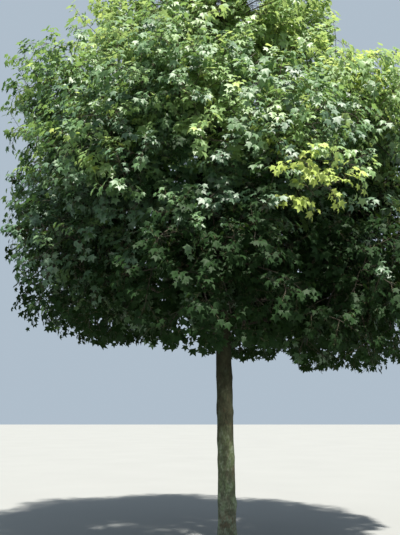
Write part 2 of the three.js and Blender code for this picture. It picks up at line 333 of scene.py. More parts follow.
FLOOR_HALF = 60.0
floor_mesh = bpy.data.meshes.new("floor")
corners = [(x * FLOOR_HALF, y * FLOOR_HALF, 0) for x, y in ((-1, -1), (1, -1), (1, 1), (-1, 1))]
floor_mesh.from_pydata(corners, [], [(0, 1, 2, 3)])
floor_mesh.materials.append(floor_finish())
floor = new_object("floor", floor_mesh)
print("a floor", 2 * FLOOR_HALF, "m wide")

# %% [markdown]
# ## The tree's plan
#
# The trunk runs up through the crown. Boughs leave it in opposite pairs, and each carries
# one mass of foliage. The masses stand in rings, and where two of them meet, a flat wall
# parts them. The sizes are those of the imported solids, in metres, so a bough or a mass
# made here lies where its solid lies. Chance is a fixed sum, not a die, so the same tree
# grows each time.

# %% Repeatable chance
SEED = 3
TURN = np.pi * (3 - np.sqrt(5))  # the golden angle


def chance(n, k):
    """A number from 0 to 1: the fraction of a large sine. n says which thing, k which draw."""
    s = np.sin(np.asarray(n, float) * 12.9898 + np.asarray(k, float) * 78.233 + SEED) * 43758.5453
    return s - np.floor(s)


def swing(n, k):
    """The same from -1 to 1."""
    return 2 * chance(n, k) - 1


def lattice_noise(points, size):
    """Smooth noise from -1 to 1: chance at the corners of a grid, blended between them."""
    place = points / size
    cell = np.floor(place)
    part = place - cell
    part = part * part * (3 - 2 * part)
    total = 0
    for corner in np.ndindex(2, 2, 2):
        weight = np.prod(np.where(np.array(corner) == 1, part, 1 - part), axis=-1)
        at = cell + corner
        total = total + weight * swing(at[..., 0] + 57 * at[..., 1], at[..., 2] + 113)
    return total


# %% The trunk's line and thickness
LEADER_TOP = 6.15
LEAN = (-0.110, 0.040)
LEAN_POWER = 1.3
FOOT_RADIUS, CLEAR_RADIUS, LEADER_RADIUS = 0.102, 0.091, 0.026
FIRST_BOUGH = 2.35
LEADER_TAPER = 0.85
FLARE = {"out": 0.032, "height": 0.08, "lobes": 5}
GRAFT = {"out": 0.013, "at": 0.39, "height": 0.11}


def trunk_point(height):
    """The trunk's middle at each height: upright at the foot, leaning more towards the top."""
    share = (np.maximum(height, 0) / LEADER_TOP) ** LEAN_POWER
    return np.stack([LEAN[0] * share, LEAN[1] * share, np.asarray(height, float)], -1)


def trunk_radius(height, angle):
    """The taper, plus a flare with five root lobes and the swelling of the old graft."""
    clear = np.minimum(1, height / FIRST_BOUGH)
    crown = np.maximum(0, (height - FIRST_BOUGH) / (LEADER_TOP - FIRST_BOUGH))
    taper = FOOT_RADIUS + (CLEAR_RADIUS - FOOT_RADIUS) * clear
    taper = taper + (LEADER_RADIUS - CLEAR_RADIUS) * crown**LEADER_TAPER
    flare = FLARE["out"] * np.exp(-height / FLARE["height"])
    flare = flare * (1 + 0.25 * np.cos(FLARE["lobes"] * angle))
    graft = GRAFT["out"] * np.exp(-(((height - GRAFT["at"]) / GRAFT["height"]) ** 2))
    return taper + flare + graft * (0.5 + 0.5 * np.cos(angle))


print("the trunk is", round(2 * float(trunk_radius(1.3, np.pi / 2)), 3), "m thick at 1.3 m")

# %% The masses of foliage
# A ring hangs lower by its drop at the bearing where it is lowest. Its first pair of boughs
# leaves the trunk at its foot, and each next pair one step higher.
TIERS = [
    {
        "name": "skirt", "count": 6, "height": 3.00, "ring": 1.69, "reach": 1.11,
        "bearing": 20, "drop": 0.17, "lowest": 0, "foot": 2.43, "step": 0.13,
    },
    {
        "name": "belly", "count": 6, "height": 4.07, "ring": 1.81, "reach": 1.12,
        "bearing": 50, "drop": 0.04, "lowest": 0, "foot": 2.90, "step": 0.17,
    },
    {
        "name": "shoulder", "count": 6, "height": 5.02, "ring": 1.72, "reach": 1.13,
        "bearing": 20, "drop": 0.20, "lowest": -80, "foot": 3.56, "step": 0.19,
    },
    {
        "name": "dome", "count": 4, "height": 6.08, "ring": 0.79, "reach": 1.15,
        "bearing": 8, "drop": 0, "lowest": 0, "foot": 4.45, "step": 0.24,
    },
    {
        "name": "crest", "count": 1, "height": 6.86, "ring": 0, "reach": 1.29,
        "bearing": 0, "drop": 0, "lowest": 0, "foot": LEADER_TOP, "step": 0,
    },
]
FLATTEN = 0.85  # a mass is this much lower than it is wide
CROWN_HEART = 4.45  # its height
OUT_RISE = 0.42  # how much a mass above the crown's heart looks up, and one below it down
WALL_GAP = 0.009  # from a mass to the wall between it and the next
TURNED, RAISED, GROWN = 7, 0.11, 0.05  # most by which chance turns, raises or grows a mass


def crown_plan():
    """Each mass's name, heart, reach and the foot of its bough, ring by ring."""
    plan = []
    for tier in TIERS:
        alone = tier["count"] == 1
        for i in range(tier["count"]):
            n = len(plan)
            turned = 0 if alone else TURNED * swing(n, 1)
            bearing = np.radians(tier["bearing"] + 360 / tier["count"] * i + turned)
            raised = 0 if alone else RAISED * swing(n, 2)
            dropped = tier["drop"] * np.cos(bearing - np.radians(tier["lowest"]))
            height = tier["height"] + raised - dropped
            heart = trunk_point(min(height, LEADER_TOP))
            heart = heart + [tier["ring"] * np.cos(bearing), tier["ring"] * np.sin(bearing), 0]
            heart[2] = height
            name = tier["name"] if alone else f"{tier['name']}_{i + 1}"
            foot = trunk_point(tier["foot"] + tier["step"] * (i % max(1, tier["count"] // 2)))
            plan.append((name, heart, tier["reach"] * (1 + GROWN * swing(n, 3)), foot))
    return plan


MASS, *sizes = zip(*crown_plan())
HEART, REACH, FOOT = [np.array(size) for size in sizes]
OUTWARD = unit(np.stack([HEART[:, 0], HEART[:, 1], OUT_RISE * (HEART[:, 2] - CROWN_HEART)], -1))
ROUND = np.array([1, 1, FLATTEN])  # turns a ball into a mass's flattened shape
FOLIAGE = [f"foliage_{name}" for name in MASS]
print(len(MASS), "masses, with hearts up to", round(float(HEART[:, 2].max()), 2), "m high")

# %% How far a mass reaches
def reach_towards(m, direction):
    """To the ball's edge, or to the wall between two balls, where the distance from a heart
    squared - its reach squared is the same for both."""
    between = (HEART[None] - HEART[m][:, None]) / ROUND
    facing = np.einsum("nmk,nk->nm", between, direction)
    depth = (between**2).sum(2) + REACH[m][:, None] ** 2 - REACH[None] ** 2
    gap = 2 * np.linalg.norm(between, axis=2) * WALL_GAP
    wall = np.where(facing > 1e-9, (depth - gap) / (2 * np.maximum(facing, 1e-9)), np.inf)
    return np.minimum(REACH[m], wall.min(1))


def kept_inside(m, points, margin):
    """Points that leave their mass are drawn back towards its heart."""
    offset = (points - HEART[m]) / ROUND
    distance = np.maximum(np.linalg.norm(offset, axis=1), 1e-6)
    most = reach_towards(m, offset / distance[:, None]) - margin
    return HEART[m] + (points - HEART[m]) * np.minimum(1, most / distance)[:, None]


all_masses = np.arange(len(MASS))
reaches = reach_towards(all_masses, OUTWARD)
print("masses reach", round(float(reaches.mean()), 2), "m out of the crown on average")

# %% [markdown]
# ## Bark
#
# A young maple's bark is a net of low ridges: they run up the trunk, split and join again,
# with narrow furrows between. Two families of waves that slant a little against each
# other give such a net, and noise bends them so that no two meshes of it are alike. The
# relief is in the mesh, so it also shows along the trunk's edge. The depth of the furrows
# is kept on the mesh as a number, which the finish reads to darken them with painted shade.

# %% Furrows
MESH_SLANT = 26.0  # how fast the two families cross, in radians a metre
BEND, BEND_SIZE = 1.5, 0.07  # how far noise bends the waves, and over what length
FURROW_WIDTH = 0.5  # as a share of a wave's height


def furrows(angle, height, round_about, ridges):
    """0 on a ridge, up to 1 in a furrow: near a line of either of two slanting families.
    Noise makes some furrows half as deep."""
    long_noise = round_about * [1, 1, 0.5]
    bend = BEND * lattice_noise(long_noise, BEND_SIZE)
    other = BEND * lattice_noise(long_noise + 9.0, BEND_SIZE)
    first = np.abs(np.sin(0.5 * ridges * angle + MESH_SLANT * height + bend))
    second = np.abs(np.sin(0.5 * ridges * angle - MESH_SLANT * height + other))
    cut = np.clip(1 - np.minimum(first, second) / FURROW_WIDTH, 0, 1) ** 1.2
    return cut * (0.75 + 0.25 * lattice_noise(round_about + 4.0, 0.05))


# %% [markdown]
# The clear stem is close to the viewer, so its rings stand twelve millimetres apart. Inside
# the crown, where only a glimpse of wood shows, they are wider apart. The stem also swells
# where rings of shoots were pruned off and healed, and once more at the graft.

# %% The trunk's mesh
CLEAR_RINGS, CROWN_RINGS, TRUNK_SIDES = 220, 30, 110
CLEAR_TOP = 2.75  # up to here the rings stand close
RIDGES = 34  # around the trunk
FURROW, KNOT, GRAIN = 0.0042, 0.006, 0.0006  # the depth of each kind of relief, in metres
HEALED = [  # the height of a swelling and how far it stands out: the graft, then healed rings
    (0.42, 0.007),
    (0.92, 0.004),
    (1.45, 0.010),
    (1.85, 0.005),
]
HEALED_WIDTH = 0.045


def trunk_bark(path):
    """The trunk as level rings. Radius = packed radius + knots + swellings + grain - furrows."""
    angle = np.arange(TRUNK_SIDES) * 2 * np.pi / TRUNK_SIDES
    height = path[:, 2][:, None]
    ring = np.stack([np.cos(angle), np.sin(angle), 0 * angle], -1)
    radius = trunk_radius(height, angle[None])
    smooth = path[:, None] + radius[..., None] * ring
    cut = furrows(angle[None], height, smooth, RIDGES)
    knots = KNOT * np.clip(lattice_noise(smooth * [1, 1, 0.7] + 2.0, 0.09), -0.4, 1)
    grain = GRAIN * lattice_noise(smooth + 7.0, 0.010)
    healed = sum(rise * np.exp(-(((height - at) / HEALED_WIDTH) ** 2)) for at, rise in HEALED)
    healed = healed * (0.75 + 0.25 * np.cos(angle[None]) + 0.3 * lattice_noise(smooth + 5.0, 0.06))
    radius = radius + knots + healed + grain - FURROW * cut
    points = path[:, None] + radius[..., None] * ring
    return points.reshape(-1, 3), tube_triangles(1, len(height), TRUNK_SIDES), cut.reshape(-1)


close_heights = np.linspace(0, CLEAR_TOP, CLEAR_RINGS, endpoint=False)
heights = np.concatenate([close_heights, np.linspace(CLEAR_TOP, LEADER_TOP, CROWN_RINGS)])
trunk_points, trunk_triangles, trunk_cut = trunk_bark(trunk_point(heights))
print("the trunk's mesh has", len(heights), "rings")

# %% [markdown]
# The bark is grey-green, with darker blotches. Lichen lies in patches on the ridges and
# thickly near the foot, where its colour is also painted light thrown up from the ground,
# and green algae grow low down. Older ridges rub off to a reddish brown, most of all below
# the graft. The furrows are darkened with painted shade. Upwards the stem and boughs are
# darkened with painted shade for the crown's shadow, nearly black close under the crown.

# %% The bark's finish
def bark_finish(name, wood, lichen_and_foot_light, algae, rust, dark, lichen_share, scale):
    """One colour laid over the other, each where its own noise, height or furrow says."""
    finish = Finish(name)
    place = finish.place()
    height = finish.add("ShaderNodeSeparateXYZ", None, {0: place}, output="Z")
    cut = finish.mark("cut")
    grain = finish.speckle(place, 70 * scale, 4.0, (1, 1, 0.3))
    patches = finish.speckle(place, 11 * scale, 4.0, (1, 1, 0.6))
    spots = finish.speckle(place, 42 * scale, 3.0, (1, 1, 0.5))
    blotches = finish.speckle(place, 15 * scale, 2.0, (1, 1, 0.8))
    tone = finish.blend(wood, darker(wood, 0.5), finish.ramp(grain, 0.38, 0.66))
    low_down = 1 - finish.ramp(height, 0.3, 1.9)
    tone = finish.blend(tone, algae, finish.ramp(patches, 0.38, 0.6) * (0.3 + 0.6 * low_down))
    tone = finish.blend(tone, rust, finish.ramp(spots - patches * 0.3, 0.40, 0.46) * 0.35)
    grown = finish.ramp(patches * 0.45 + spots * 0.35 + grain * 0.2, 0.49, 0.60) * lichen_share
    tone = finish.blend(tone, lichen_and_foot_light, grown * (1 - cut))
    # Near the foot the lichen colour is laid on thickly: partly lichen, partly painted light thrown up
    # from the ground.
    tone = finish.blend(tone, lichen_and_foot_light, (1 - finish.ramp(height, 0.1, 0.8)) * 0.5)
    tone = finish.blend(tone, darker(wood, 0.45), finish.ramp(blotches, 0.46, 0.60) * 0.6)
    below_graft = finish.ramp(height, 0.02, 0.16) * (1 - finish.ramp(height, 0.24, 0.42))
    tone = finish.blend(tone, rust, below_graft * finish.ramp(spots, 0.42, 0.56) * 0.35)
    # Painted shade in the furrows, as dark as they are deep.
    tone = finish.blend(tone, dark, cut * 0.85)
    # Painted shade: the crown's shadow, darker upwards and nearly black close under the crown.
    shade = finish.ramp(height, 0.70, 1.45) * 0.74 + finish.ramp(height, 1.7, 2.3) * 0.23
    tone = finish.blend(tone, darker(dark, 0.4), shade)
    rough = 0.82 + 0.14 * grain
    relief = finish.bump(grain * 0.6 + spots * 0.4, 0.003 / scale)
    return finish.surface(Base_Color=tone, Roughness=rough, Normal=relief, Specular_IOR_Level=0.1)


trunk_finish = bark_finish(
    "trunk_bark", lichen_share=0.75, scale=0.85,
    wood=(0.21, 0.215, 0.14, 1), lichen_and_foot_light=(0.38, 0.43, 0.31, 1), algae=(0.18, 0.25, 0.105, 1),
    rust=(0.19, 0.095, 0.05, 1), dark=(0.025, 0.029, 0.013, 1),
)
piece(
    "trunk_bark", trunk_points, trunk_triangles, trunk_finish, ["trunk"],
    marks={"cut": trunk_cut},
)

# %% [markdown]
# ## Boughs and stems
#
# A bough climbs from the trunk, bends out and ends where its mass of foliage begins. From
# there the stem of the mass carries on. Both are curves of three control points, as in the
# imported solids. Their bark is younger, so its furrows are finer.

# %% The curves of boughs and stems
BOUGH_RADIUS, BOUGH_TIP_RADIUS, STEM_RADIUS = 0.036, 0.019, 0.008
BOUGH_BEND = [0.3, 0.3, 0.5]  # where a bough's middle control point lies, as shares of its span
STEM_BEND = 0.4  # the same for a stem, as a share of its length
PAST_HEART = 0.3  # how far a stem runs on past its mass's heart, as a share of the reach
JOINT_GAP = 0.0003
on_bough = np.array([name != "crest" for name in MASS])

inward = unit((FOOT - HEART) / ROUND)
bough_tip = HEART + inward * ROUND * reach_towards(all_masses, inward)[:, None]
bough_middle = FOOT + (bough_tip - FOOT) * BOUGH_BEND
bough_curve = np.stack([FOOT, bough_middle, bough_tip], 1)

leaving = np.where(on_bough[:, None], unit(bough_tip - bough_middle), (0, 0, 1))
stem_start = np.where(on_bough[:, None], bough_tip, FOOT) + leaving * JOINT_GAP
stem_tip = HEART + unit(HEART - stem_start) * PAST_HEART * REACH[:, None]
stem_length = np.linalg.norm(stem_tip - stem_start, axis=1, keepdims=True)
stem_curve = np.stack([stem_start, stem_start + leaving * stem_length * STEM_BEND, stem_tip], 1)
bough_span = np.linalg.norm(bough_tip - FOOT, axis=1)[on_bough]
print("boughs span", round(float(bough_span.mean()), 2), "m on average")

# %% The boughs' mesh
BOUGH_RINGS, BOUGH_SIDES, BOUGH_RIDGES = 28, 16, 14
BOUGH_FURROW, BOUGH_LUMP = 0.0016, 0.003  # in metres
COLLAR = {"out": 0.012, "length": 0.09}


def bough_bark(paths):
    """Tubes with a collar at the trunk. Radius = taper + collar + lumps + grain - furrows."""
    count, rings, _ = paths.shape
    ring = rings_along(paths, BOUGH_SIDES)
    angle = np.arange(BOUGH_SIDES) * 2 * np.pi / BOUGH_SIDES
    steps = np.linalg.norm(np.diff(paths, axis=1), axis=2)
    run = np.concatenate([np.zeros((count, 1)), np.cumsum(steps, 1)], 1)[:, :, None]
    part = np.minimum(run / steps.sum(1)[:, None, None], 1)
    collar = COLLAR["out"] * np.exp(-run / COLLAR["length"])
    radius = BOUGH_RADIUS + (BOUGH_TIP_RADIUS - BOUGH_RADIUS) * part + collar
    smooth = paths[:, :, None] + radius[..., None] * ring
    cut = furrows(angle[None, None], run, smooth, BOUGH_RIDGES)
    lumps = BOUGH_LUMP * lattice_noise(smooth * [1, 1, 0.6] + 2.0, 0.11)
    grain = 0.12 * BOUGH_FURROW * lattice_noise(smooth + 7.0, 0.012)
    radius = radius + lumps + grain - BOUGH_FURROW * cut
    points = paths[:, :, None] + radius[..., None] * ring
    return points.reshape(-1, 3), tube_triangles(count, rings, BOUGH_SIDES), cut.reshape(-1)


bough_points, bough_triangles, bough_cut = bough_bark(sampled(bough_curve[on_bough], BOUGH_RINGS))
bough_finish = bark_finish(
    "bough_bark", lichen_share=0.4, scale=1.6,
    wood=(0.12, 0.105, 0.075, 1), lichen_and_foot_light=(0.20, 0.20, 0.16, 1), algae=(0.09, 0.11, 0.05, 1),
    rust=(0.12, 0.07, 0.04, 1), dark=(0.04, 0.033, 0.025, 1),
)
boughs = [f"bough_{name}" for name in MASS if name != "crest"]
piece(
    "boughs", bough_points, bough_triangles, bough_finish, boughs,
    marks={"cut": bough_cut},
)

# %% [markdown]
# ## Twigs
#
# From the stem of each mass, main twigs go out in even directions, as in the packed
# solids: the golden angle between one and the next spreads them like seeds in a flower
# head. Each main twig ends in a fan of branch twigs and each of those in a fan of side
# twigs, spread by the same angle. The leaves of one branch twig make a lump about two
# hands across, and between the lumps stay the dark valleys that give the crown its depth.

# %% [markdown]
# To the right of the dome a notch of sky reaches down to the shoulder. It is a wedge along
# the viewer's line of sight, and a twig that would end in it is drawn back to its edge.

# %% The notch of sky
NOTCH_LEFT, NOTCH_FLOOR = 1.38, 6.04  # where it begins, at the trunk's depth
SIGHT_RIGHT, SIGHT_UP = 0.171, 0.495  # how far the line of sight runs right and up, a metre away
NOTCH_RAGGED = 0.20  # how far noise moves its edges


def out_of_notch(points):
    """Points in the notch go back left or down to its edge, whichever is nearer."""
    ragged = NOTCH_RAGGED * lattice_noise(points, 0.35)
    left = points[:, 0] - NOTCH_LEFT - SIGHT_RIGHT * points[:, 1] + ragged
    down = points[:, 2] - NOTCH_FLOOR - SIGHT_UP * points[:, 1] + ragged
    inside = (left > 0) & (down > 0)
    goes_left = inside & (left < down)
    goes_down = inside & (left >= down)
    return points - np.stack([left * goes_left, 0 * left, down * goes_down], 1)


# %% Main twigs
HEADINGS = 18
CORE = {"deep": 0.27, "wide": 0.92, "out": 0.2}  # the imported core: a lens, moved outwards
PAST_CORE = 0.14  # main twigs end this much outside the core, as a share of the reach
INNER = -0.85  # no main twig looks further back than this, where it would meet the trunk
BACK = -0.3  # a main twig that looks further back than this fills the crown's inside
BACK_SHARE = 0.85  # and runs through this much of the room there
MARGIN = {"main": 0.17, "branch": 0.13, "side": 0.05}  # room left for finer twigs and leaves

m, k = all_numbered(len(MASS), HEADINGS)
level = 1 - 2 * (k + 0.5) / HEADINGS
around = k * TURN + 2 * np.pi * chance(m, 4)
flat = np.sqrt(1 - level**2)
heading = np.stack([flat * np.cos(around), flat * np.sin(around), level], -1)
forward = (heading * OUTWARD[m]).sum(1)
kept = forward > INNER
m, heading, forward = m[kept], heading[kept], forward[kept]

narrowing = (forward / CORE["deep"]) ** 2 + (1 - forward**2) / CORE["wide"] ** 2
lens = 1 / np.sqrt(narrowing) + CORE["out"] * forward
room = reach_towards(m, heading) - MARGIN["main"]
front = np.minimum(REACH[m] * (lens + PAST_CORE), room)
distance = np.where(forward < BACK, BACK_SHARE * room, front)
main_end = out_of_notch(HEART[m] + heading * ROUND * distance[:, None])
print(len(m), "main twigs in even directions")

# %% [markdown]
# A few main twigs are added where one could look through the crown. A main twig leaves its
# stem the nearer to the tip the further forward it looks, and arches a little.

# %% Added main twigs, and the curves of all
FILLED = [
    ("shoulder_6", (0.34, -0.80, 5.00)),
    ("shoulder_5", (0.33, -1.60, 5.12)),
    ("shoulder_2", (0.36, 1.40, 4.80)),
    ("belly_1", (0.40, 1.20, 4.56)),
]
ARCH = {"main": 0.05, "branch": 0.03, "side": 0.015}  # how far a twig's middle is lifted

added = np.array([MASS.index(name) for name, _ in FILLED])
added_end = np.array([end for _, end in FILLED])
added_forward = (unit((added_end - HEART[added]) / ROUND) * OUTWARD[added]).sum(1)
m = np.concatenate([m, added])
forward = np.concatenate([forward, added_forward])
main_end = np.concatenate([main_end, added_end])

main_start = bezier(stem_curve[m], np.clip(0.62 + 0.3 * forward, 0, 1))
main_middle = (main_start + main_end) / 2 + [0, 0, ARCH["main"]]
main_curve = np.stack([main_start, main_middle, main_end], 1)
print(len(m), "main twigs in all")

# %% [markdown]
# Finer twigs stay in their mass. The lowest ones hang down under their leaves, and those at
# the top end together in one rounded cap.

# %% Room for the finer twigs
PAST_BOX = 0.03  # how far a twig may pass its packed mass's box
SKIRT_HANG = 0.07  # for the lowest twigs
CAP_HEART = np.array([-0.08, 0.02, 5.35])
CAP_REACH = np.array([2.4, 2.4, 2.27])
CAP_FROM = 6.2  # only twigs that end above this height are rounded off

node_boxes = [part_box(f"foliage_{name}") for name in MASS]
node_low, node_high = [np.array([box[side] for box in node_boxes]) for side in (0, 1)]
hang_down = np.array([SKIRT_HANG if name.startswith("skirt") else 0 for name in MASS])
node_low[:, 2] -= hang_down
print("the lowest twigs may hang down to", round(float(node_low[:, 2].min()), 2), "m")


# %% Fans and bends
LOWEST_LIFT = {"branch": -0.45, "side": -0.2}


def fan(axis, place, count, lowest, seed):
    """The direction of the twig at one place of a fan, and its lift: how far along the axis it
    points. The lift falls evenly from one to the lowest, and the golden angle turns the fan."""
    across = square_to(axis)
    lift = 1 - (1 - lowest) * (place + 0.5) / count
    spin = place * TURN + seed
    spread = np.sqrt(1 - lift**2)
    way = lift[:, None] * axis + (spread * np.cos(spin))[:, None] * across
    return way + (spread * np.sin(spin))[:, None] * np.cross(axis, across), lift


def bent(start, end, mass, rise, margin):
    """Curves from start to end that arch up a little. The end is kept in its mass, close to
    the mass's packed box, out of the notch, and in the flattened ball that caps the crown."""
    end = kept_inside(mass, end, margin)
    lowness = np.clip((HEART[mass, 2] - end[:, 2]) / (FLATTEN * REACH[mass]), 0, 1)
    end = end - (hang_down[mass] * lowness)[:, None] * [0, 0, 1]
    end = out_of_notch(end)
    end = np.clip(end, node_low[mass] - PAST_BOX, node_high[mass] + PAST_BOX)
    from_heart = (end - CAP_HEART) / CAP_REACH
    past = np.maximum(1, np.linalg.norm(from_heart, axis=1))[:, None]
    end = np.where(end[:, 2:] > CAP_FROM, CAP_HEART + from_heart * CAP_REACH / past, end)
    return np.stack([start, (start + end) / 2 + [0, 0, rise], end], 1)


# %% Branch twigs
BRANCH_TWIGS, BRANCH_LENGTH = 6, 0.37

limb, i = all_numbered(len(m), BRANCH_TWIGS)
wanted = (forward[limb] > BACK) | (i % 3 != 1)  # a third of those inside the crown is left out
limb, i = limb[wanted], i[wanted]
crown_out = unit((main_end - [0, 0, CROWN_HEART]) * [1, 1, 0.8])
axis = unit(0.5 * unit(main_end - main_start) + 0.6 * crown_out)[limb]
way, lift = fan(axis, i, BRANCH_TWIGS, LOWEST_LIFT["branch"], 2 * np.pi * chance(limb, 8))
span = BRANCH_LENGTH * (0.85 + 0.15 * lift) * (1 + 0.35 * swing(limb * 31 + i, 9))
start = bezier(main_curve[limb], 0.45 + 0.55 * np.clip(lift, 0, 1))
branch_curve = bent(start, start + way * span[:, None], m[limb], ARCH["branch"], MARGIN["branch"])
print(len(limb), "branch twigs")

# %% Side twigs
SIDE_TWIGS, SIDE_LENGTH = 4, 0.21

spray, j = all_numbered(len(limb), SIDE_TWIGS)
axis = unit(unit(branch_curve[:, 2] - branch_curve[:, 0]) + 0.5 * crown_out[limb])[spray]
way, lift = fan(axis, j, SIDE_TWIGS, LOWEST_LIFT["side"], 2 * np.pi * chance(spray, 10))
span = SIDE_LENGTH * (1 + 0.25 * swing(spray * 31 + j, 11))
start = bezier(branch_curve[spray], 0.55 + 0.45 * np.clip(lift, 0, 1))
side_curve = bent(start, start + way * span[:, None], m[limb[spray]], ARCH["side"], MARGIN["side"])
print(len(spray), "side twigs")

# %% [markdown]
# The wood of stems and twigs is one mesh. The thinner the twig, the fewer its rings and
# sides, because a twig of five millimetres is less than a pixel wide in the picture.

# %% The twigs' mesh
def limbs(curves, rings, sides, thick, thin):
    """Tapering tubes along curves, from the thick to the thin radius."""
    thick = np.broadcast_to(thick, (len(curves),))[:, None]
    radii = thick + (thin - thick) * np.linspace(0, 1, rings)
    return tubes(sampled(curves, rings), radii, sides)


def joined(parts):
    """Several sets of points and triangles as one."""
    starts = np.cumsum([0] + [len(points) for points, _ in parts[:-1]])
    points = np.concatenate([points for points, _ in parts])
    return points, np.concatenate([triangles + start for (_, triangles), start in zip(parts, starts)])


def twig_finish(name, wood, young):
    """Two tones of wood in fine upright grain."""
    finish = Finish(name)
    place = finish.place()
    grain = finish.speckle(place, 90, 3.0, (1, 1, 0.4))
    tone = finish.blend(wood, young, finish.ramp(grain, 0.4, 0.7))
    relief = finish.bump(grain, 0.001)
    return finish.surface(Base_Color=tone, Roughness=0.75 + 0.15 * grain, Normal=relief)


stem_foot = np.where(on_bough, BOUGH_TIP_RADIUS, LEADER_RADIUS)
stem_wood = limbs(stem_curve, rings=14, sides=10, thick=stem_foot, thin=STEM_RADIUS)
main_wood = limbs(main_curve, rings=6, sides=5, thick=0.008, thin=0.0045)
branch_wood = limbs(branch_curve, rings=4, sides=3, thick=0.0042, thin=0.0028)
side_wood = limbs(side_curve, rings=2, sides=3, thick=0.0027, thin=0.0018)
twig_points, twig_triangles = joined([stem_wood, main_wood, branch_wood, side_wood])
young_wood = twig_finish("young_wood", (0.040, 0.034, 0.022, 1), (0.062, 0.048, 0.032, 1))
piece("twigs", twig_points, twig_triangles, young_wood, FOLIAGE)

# %% [markdown]
# ## Leaves
#
# The leaves sit in pairs, each pair turned by a quarter from the last. A stalk holds the
# blade off the twig, and the blade hangs from the stalk's end, its face turned out to the
# light. So the leaves overlap like shingles.

# %% Leaf stalks
PAIRS = np.array([0.2, 0.4, 0.6, 0.8, 1.0])  # where on a side twig its pairs of leaves sit
STALK = 0.052
STALK_SAG = 0.008
FACE = {"lump": 0.6, "crown": 0.4, "up": 0.45, "chance": 0.35}  # what turns a blade's face
STALK_LEAN = {"side": 0.8, "along": 0.5, "face": 0.35, "chance": 0.15}

twig, pair, hand = all_numbered(len(spray), len(PAIRS), 2)
leaf = np.arange(len(twig))
branch = spray[twig]
owner = m[limb[branch]]


def jitter(k, size):
    """A small random vector for each leaf."""
    return size * np.stack([swing(leaf, k), swing(leaf, k + 1), swing(leaf, k + 2)], -1)


root = bezier(side_curve[twig], PAIRS[pair])
along = unit(side_curve[twig, 2] - side_curve[twig, 0])
first = square_to(along)
second = np.cross(along, first)
quarter = pair * np.pi / 2 + hand * np.pi + 2 * np.pi * chance(twig, 12)
sideways = np.cos(quarter)[:, None] * first + np.sin(quarter)[:, None] * second

from_lump = unit(root - bezier(branch_curve[branch], 0.75))
facing = FACE["lump"] * from_lump + FACE["crown"] * crown_out[limb[branch]] + [0, 0, FACE["up"]]
facing = unit(facing + jitter(20, FACE["chance"]))
stalk_way = STALK_LEAN["side"] * sideways + STALK_LEAN["along"] * along + STALK_LEAN["face"] * facing
stalk_way = unit(stalk_way + jitter(30, STALK_LEAN["chance"]))
stalk_length = STALK * (1 + 0.35 * swing(leaf, 34))
blade_root = root + stalk_way * stalk_length[:, None] - [0, 0, STALK_SAG]
print("stalks are", round(float(stalk_length.mean()), 3), "m long on average")

# %% Blades
BLADE, BLADE_SPREAD = 0.071, 0.26  # the mean length, and how far chance changes it
INNER_SIZE = 1.35  # for leaves on twigs that look back, seen only as the crown's dark inside
DROOP = {"stalk": 0.5, "lump": 0.25, "down": 0.75, "chance": 0.25}  # what a blade hangs along

hang = DROOP["stalk"] * stalk_way + DROOP["lump"] * from_lump - [0, 0, DROOP["down"]]
hang = unit(hang + jitter(40, DROOP["chance"]))
blade_across = unit(np.cross(hang, facing))
blade_normal = np.cross(blade_across, hang)
blade_size = BLADE * (1 + BLADE_SPREAD * swing(leaf, 44))
blade_size = blade_size * np.where(forward[limb[branch]] < BACK, INNER_SIZE, 1)
blade_tip = blade_root + hang * blade_size[:, None]
print("blades are", round(float(blade_size.mean()), 3), "m long on average")

# %% [markdown]
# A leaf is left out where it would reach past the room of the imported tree, touch the trunk
# or hang too low. It is also left out in three clefts, where the picture shows narrow slits
# of sky between the top shoots and only twigs cross. A cleft gets wider upwards. It is given
# as the camera sees it, in metres at a metre away.

# %% The leaves that fit
PAST_PACKED = 0.02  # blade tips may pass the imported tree's box by this share of its side,
TIP_MARGIN = 0.02  # less this margin in metres
TRUNK_CLEAR = 0.16
LOWEST_LEAF = 1.92
CLEFTS = [  # how far right of the camera, its floor, and half its width there
    (-0.061, 0.563, 0.005),
    (0.029, 0.550, 0.005),
    (0.078, 0.562, 0.012),
]
CLEFT_WIDENS = 0.10
CLEFT_TOP = 0.590

past = PAST_PACKED * (high - low) - TIP_MARGIN
in_box = ((blade_tip > low - past) & (blade_tip < high + past)).all(1)
from_trunk = np.linalg.norm((blade_root - trunk_point(blade_root[:, 2]))[:, :2], axis=1)
away = blade_tip[:, 1] - EYE.y
aside = (blade_tip[:, 0] - EYE.x) / away
up = (0.5 * (blade_root + blade_tip)[:, 2] - EYE.z) / away
in_cleft = np.zeros(len(leaf), bool)
for right, cleft_floor, half in CLEFTS:
    inside = (up > cleft_floor) & (up < CLEFT_TOP)
    in_cleft |= inside & (np.abs(aside - right) < half + CLEFT_WIDENS * (up - cleft_floor))
fits = in_box & (from_trunk > TRUNK_CLEAR) & (blade_tip[:, 2] > LOWEST_LEAF) & ~in_cleft
print(int(fits.sum()), "leaves of", len(fits), "fit the crown's room")

# %% [markdown]
# A blade has five pointed lobes. It is folded along its midrib, and four triangles make
# each half. The lobes' tips droop, so one leaf catches the light in several tones. Each
# leaf is a little longer, wider or more curled than the next.

# %% The leaf's outline
HALF = np.array([
    [0.47, 0.03, -0.03],
    [0.33, 0.25, 0.07],
    [0.63, 0.60, -0.08],
    [0.20, 0.60, 0.05],
])
LEAF_POINTS = np.concatenate([[[0, 0, 0]], HALF, [[0, 1.0, -0.16]], HALF * [-1, 1, 1]])
RIGHT_FACES = np.array([[0, 1, 2], [0, 2, 4], [2, 3, 4], [0, 4, 5]])
LEFT_FACES = np.where((RIGHT_FACES > 0) & (RIGHT_FACES < 5), RIGHT_FACES + 5, RIGHT_FACES)[:, ::-1]
LEAF_TRIANGLES = np.concatenate([RIGHT_FACES, LEFT_FACES])
LEAF_UV = np.stack([0.5 + LEAF_POINTS[:, 0] / 1.4, (LEAF_POINTS[:, 1] + 0.15) / 1.3], -1)
print("a leaf has", len(LEAF_TRIANGLES), "triangles")


